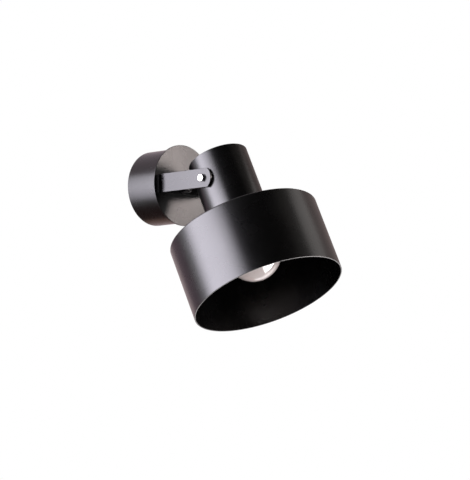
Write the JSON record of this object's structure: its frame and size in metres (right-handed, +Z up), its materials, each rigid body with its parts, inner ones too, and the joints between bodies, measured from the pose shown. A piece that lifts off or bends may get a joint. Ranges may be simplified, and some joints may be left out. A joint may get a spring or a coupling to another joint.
{
  "type": "pivoting spotlight wall light",
  "caption": "Wall spotlight: a round canopy with a front disc carries a flat U yoke, in which a narrow neck with a wide drum shade and a globe bulb tilts up and down.",
  "frame": {"origin": "middle of the wall bracket's back, on the wall plane, on the canopy's axis", "axes": "+X to the right as seen from the room, +Y into the wall, +Z up; the lamp stands out towards -Y"},
  "size_m": [0.15, 0.2227, 0.1882],
  "materials": {
    "black_coat": "satin black powder coat",
    "galvanised_steel": "galvanised sheet",
    "zinc_steel": "bright zinc plate",
    "black_steel": "black oxide",
    "brass": "plain brass",
    "nickel_plate": "nickel plate",
    "natural_plastic": "milky moulded plastic",
    "black_plastic": "moulded, fine grain",
    "black_rubber": "moulded rubber",
    "ceramic": "glazed ceramic",
    "opal": "opal dome",
    "white_plastic": "white moulded plastic",
    "white_board": "white solder mask",
    "black_glass": "dark glass"
  },
  "bodies": {
    "base": {"canopy_shell": "black_coat", "front_disc": "black_coat", "wall_bracket": "galvanised_steel", "canopy_grub_screws": "black_steel", "threaded_tube": "zinc_steel", "toothed_washer": "zinc_steel", "canopy_nut": "zinc_steel", "yoke_washer": "black_steel", "yoke_nut": "black_steel", "cable_bush": "black_plastic", "terminal_block": "natural_plastic", "terminal_inserts": "brass", "terminal_screws": "zinc_steel", "terminal_block_screw": "zinc_steel", "earth_washer": "zinc_steel", "earth_screw": "brass", "yoke": "black_coat"},
    "head": {"pivot_bolts": "zinc_steel", "friction_washers": "black_plastic", "pivot_washers": "zinc_steel", "pivot_nuts": "zinc_steel", "neck_tube": "black_coat", "neck_cap": "black_coat", "cable_grommet": "black_rubber", "shade": "black_coat", "holder_strap": "galvanised_steel", "holder_tube": "zinc_steel", "holder_nut": "zinc_steel", "holder_cap": "black_plastic", "holder_shell": "black_plastic", "holder_insert": "ceramic", "holder_screw_shell": "nickel_plate", "holder_centre_contact": "brass", "holder_terminal_screws": "zinc_steel", "shade_ring": "black_plastic", "bulb_dome": "opal", "bulb_housing": "white_plastic", "bulb_circuit_board": "white_board", "bulb_screw_cap": "nickel_plate", "bulb_insulator": "black_glass", "bulb_end_contact": "brass"}
  },
  "joints": [
    {"name": "head_tilt", "type": "hinge", "parent": "base", "child": "head", "pos_m": [0, -0.1, 0], "axis": [-1, 0, 0], "range_deg": [-30, 90]}
  ]
}
